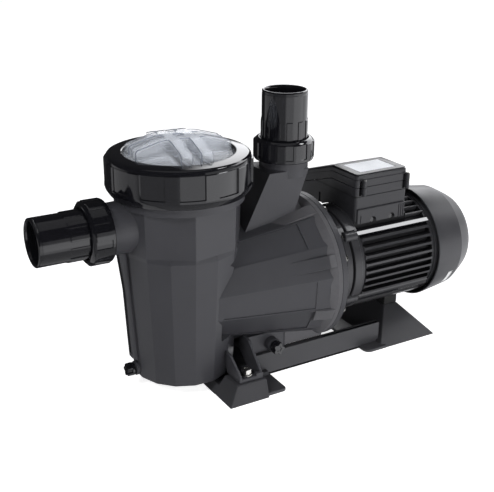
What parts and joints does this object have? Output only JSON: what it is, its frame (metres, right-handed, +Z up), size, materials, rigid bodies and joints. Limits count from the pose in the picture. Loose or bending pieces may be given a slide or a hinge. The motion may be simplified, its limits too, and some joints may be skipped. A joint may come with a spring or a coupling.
{
  "type": "pool pump",
  "caption": "Self-priming pool pump with a strainer pot under a clear screw lid, threaded pipe unions, volute, finned motor with terminal box, and a base.",
  "frame": {"origin": "under the middle of the pump's bounding box, on the floor the base stands on", "axes": "+X along the pump axis from the suction spigot to the motor's fan cover, +Z up, +Y away from the volute's drain plug"},
  "size_m": [0.6748, 0.24, 0.391],
  "materials": {
    "housing": "satin",
    "gloss_black": "high gloss",
    "base_plastic": "satin",
    "cover_plastic": "smooth satin",
    "grey_plastic": "satin",
    "clear": "clear polycarbonate",
    "rubber": "matt",
    "ceramic": "smooth pale ceramic",
    "carbon": "carbon graphite",
    "capacitor_shell": "satin",
    "motor_paint": "satin black paint",
    "steel": "machined stainless",
    "laminations": "laminated sheet",
    "windings": "enamelled copper wire"
  },
  "bodies": {
    "pump": {"pump_housing": "housing", "base": "base_plastic", "base_bolt_near": "steel", "base_bolt_far": "steel", "base_washer_near": "steel", "base_washer_far": "steel", "seal_flange": "housing", "flange_bolt_1": "steel", "flange_bolt_2": "steel", "flange_bolt_3": "steel", "flange_bolt_4": "steel", "flange_bolt_5": "steel", "flange_bolt_6": "steel", "flange_bolt_7": "steel", "flange_bolt_8": "steel", "housing_oring": "rubber", "diffuser": "grey_plastic", "seal_seat": "ceramic", "front_shield": "motor_paint", "motor_frame": "motor_paint", "rear_shield": "motor_paint", "front_bearing": "steel", "rear_bearing": "steel", "stator_core": "laminations", "winding_front": "windings", "winding_rear": "windings", "tie_bolt_1": "steel", "tie_bolt_2": "steel", "tie_bolt_3": "steel", "tie_bolt_4": "steel", "fan_cover": "cover_plastic", "terminal_box": "cover_plastic", "terminal_box_lid": "cover_plastic", "terminal_box_gasket": "rubber", "terminal_block": "ceramic", "run_capacitor": "capacitor_shell", "gland_plug_1": "gloss_black", "gland_plug_2": "gloss_black", "motor_support": "rubber", "suction_oring": "rubber", "discharge_oring": "rubber"},
    "rotating_assembly": {"shaft": "steel", "rotor_core": "laminations", "impeller": "grey_plastic", "fan": "grey_plastic", "seal_head": "carbon", "seal_spring": "steel", "water_slinger": "rubber"},
    "lid_seal": {"lid_oring": "rubber"},
    "clear_lid": {"lid": "clear"},
    "clamp_ring": {"lid_ring": "gloss_black"},
    "basket": {"strainer_basket": "grey_plastic"},
    "suction_spigot": {"suction_tail": "gloss_black"},
    "suction_union_nut": {"suction_nut": "gloss_black"},
    "discharge_spigot": {"discharge_tail": "gloss_black"},
    "discharge_union_nut": {"discharge_nut": "gloss_black"},
    "strainer_drain_seal": {"strainer_drain_oring": "rubber"},
    "strainer_drain_knob": {"strainer_drain_plug": "gloss_black"},
    "volute_drain_seal": {"volute_drain_oring": "rubber"},
    "volute_drain_knob": {"volute_drain_plug": "gloss_black"}
  },
  "joints": [
    {"name": "lid_lift", "type": "slide", "parent": "pump", "child": "lid_seal", "axis": [0, 0, 1], "range_m": [0, 0.6]},
    {"name": "lid_rise", "type": "slide", "parent": "lid_seal", "child": "clear_lid", "axis": [0, 0, 1], "range_m": [0, 0.0121]},
    {"name": "ring_turn", "type": "hinge", "parent": "clear_lid", "child": "clamp_ring", "pos_m": [-0.13505, 0, 0.3], "axis": [0, 0, 1], "range_deg": [0, 720]},
    {"name": "basket_lift", "type": "slide", "parent": "pump", "child": "basket", "axis": [0, 0, 1], "range_m": [0, 0.3001]},
    {"name": "suction_spigot_draw", "type": "slide", "parent": "pump", "child": "suction_spigot", "axis": [-1, 0, 0], "range_m": [0, 0.0141]},
    {"name": "suction_nut_turn", "type": "hinge", "parent": "suction_spigot", "child": "suction_union_nut", "pos_m": [-0.25505, 0, 0.236], "axis": [-1, 0, 0], "range_deg": [0, 1680]},
    {"name": "discharge_spigot_draw", "type": "slide", "parent": "pump", "child": "discharge_spigot", "axis": [0, 0, 1], "range_m": [0, 0.0141]},
    {"name": "discharge_nut_turn", "type": "hinge", "parent": "discharge_spigot", "child": "discharge_union_nut", "pos_m": [0.02645, 0, 0.31], "axis": [0, 0, 1], "range_deg": [0, 1680]},
    {"name": "strainer_drain_draw", "type": "slide", "parent": "pump", "child": "strainer_drain_seal", "axis": [-1, 0, 0], "range_m": [0, 0.0111]},
    {"name": "strainer_drain_turn", "type": "hinge", "parent": "strainer_drain_seal", "child": "strainer_drain_knob", "pos_m": [-0.21155, 0, 0.0275], "axis": [-1, 0, 0], "range_deg": [0, 2640]},
    {"name": "volute_drain_draw", "type": "slide", "parent": "pump", "child": "volute_drain_seal", "axis": [0, -1, 0], "range_m": [0, 0.0111]},
    {"name": "volute_drain_turn", "type": "hinge", "parent": "volute_drain_seal", "child": "volute_drain_knob", "pos_m": [-0.02705, -0.075, 0.0475], "axis": [0, -1, 0], "range_deg": [0, 2640]},
    {"name": "shaft_spin", "type": "hinge", "parent": "pump", "child": "rotating_assembly", "pos_m": [0.15, 0, 0.129], "axis": [1, 0, 0], "continuous": true}
  ],
  "couplings": [
    {"joint": "lid_rise", "follows": "ring_turn", "m_per_rad": 0.00095493},
    {"joint": "basket_lift", "follows": "lid_lift", "ratio": 0.5},
    {"joint": "suction_spigot_draw", "follows": "suction_nut_turn", "m_per_rad": 0.00047746},
    {"joint": "discharge_spigot_draw", "follows": "discharge_nut_turn", "m_per_rad": 0.00047746},
    {"joint": "strainer_drain_draw", "follows": "strainer_drain_turn", "m_per_rad": 0.00023873},
    {"joint": "volute_drain_draw", "follows": "volute_drain_turn", "m_per_rad": 0.00023873}
  ]
}
